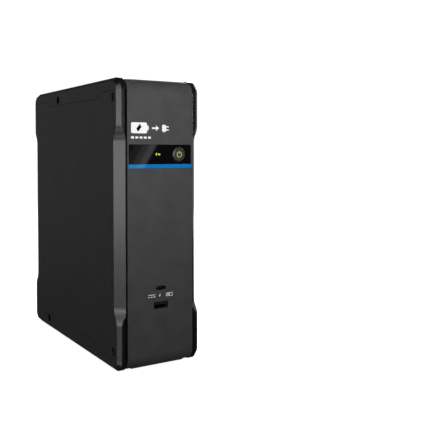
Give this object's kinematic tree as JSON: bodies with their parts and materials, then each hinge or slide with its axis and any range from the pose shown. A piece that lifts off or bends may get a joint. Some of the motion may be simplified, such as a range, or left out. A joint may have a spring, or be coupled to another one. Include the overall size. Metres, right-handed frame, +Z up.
{
  "type": "uninterruptible power supply",
  "caption": "Slim upright backup power unit with chamfered side shells, a display window with a lit button, front charging ports, a battery door and rear power sockets.",
  "frame": {"origin": "middle of the base, on the floor", "axes": "+X to the right seen from the front, -Y the front with the window and ports, +Z up"},
  "size_m": [0.082, 0.235, 0.26],
  "materials": {
    "shell_black": "fine grain",
    "bezel_black": "fine grain",
    "casing_black": "matte",
    "window_black": "gloss",
    "accent_blue": "satin",
    "button_grey": "satin",
    "lit_green": "lit",
    "board_green": "solder mask",
    "steel": "plated",
    "zinc": "zinc plated",
    "brass": "bright",
    "aluminium": "extruded",
    "copper": "varnished",
    "laminations": "varnished",
    "jar_grey": "moulded",
    "lid_grey": "moulded",
    "insulation_red": "soft",
    "insulation_black": "soft",
    "sleeve_clear": "translucent nylon",
    "foam": "foam",
    "nylon_white": "moulded",
    "relay_blue": "moulded",
    "package_black": "moulded",
    "ferrite": "coated",
    "socket_black": "moulded",
    "tongue_blue": "moulded"
  },
  "bodies": {
    "case": {"accent_strip": "accent_blue", "battery_case": "jar_grey", "battery_lid": "lid_grey", "battery_shelf": "casing_black", "battery_terminals": "steel", "board_screws": "zinc", "breaker_body": "socket_black", "breaker_nut": "steel", "buzzer": "package_black", "case_screws": "zinc", "data_board": "board_green", "data_jacks": "socket_black", "display_board": "board_green", "display_leds": "lit_green", "display_window": "window_black", "filter_capacitors": "relay_blue", "filter_choke": "ferrite", "foam_pads": "foam", "front_bezel": "bezel_black", "heat_sink": "aluminium", "inlet_pins": "brass", "inlet_screws": "steel", "inlet_socket": "socket_black", "jack_contacts": "brass", "left_shell": "shell_black", "main_board": "board_green", "mains_fuse": "nylon_white", "mid_casing": "casing_black", "negative_lead": "insulation_black", "outlet_1": "socket_black", "outlet_2": "socket_black", "outlet_3": "socket_black", "outlet_4": "socket_black", "outlet_contacts": "brass", "positive_lead": "insulation_red", "power_transistors": "package_black", "rear_panel": "casing_black", "right_shell": "shell_black", "status_symbol": "lit_green", "tact_switch": "package_black", "terminal_sleeves": "sleeve_clear", "transfer_relays": "relay_blue", "transformer_bobbin": "nylon_white", "transformer_bracket": "zinc", "transformer_coil": "copper", "transformer_core": "laminations", "transformer_screws": "zinc", "usb_a_contacts": "brass", "usb_a_shell": "steel", "usb_a_tongue": "tongue_blue", "usb_b_port": "steel", "usb_board": "board_green", "usb_c_shell": "steel", "usb_c_tongue": "package_black"},
    "battery_door": {"battery_door": "shell_black", "door_screws": "zinc"},
    "power_button": {"power_button": "button_grey", "power_symbol": "lit_green"},
    "breaker_button": {"breaker_button": "package_black"}
  },
  "joints": [
    {"name": "battery_door_lift", "type": "slide", "parent": "case", "child": "battery_door", "axis": [-1, 0, 0], "range_m": [0, 0.08]},
    {"name": "power_button_press", "type": "slide", "parent": "case", "child": "power_button", "axis": [0, 1, 0], "range_m": [0, 0.0008], "stiffness_N_per_m": 600, "springref_m": -0.0005},
    {"name": "breaker_button_pop", "type": "slide", "parent": "case", "child": "breaker_button", "axis": [0, 1, 0], "range_m": [0, 0.004]}
  ]
}
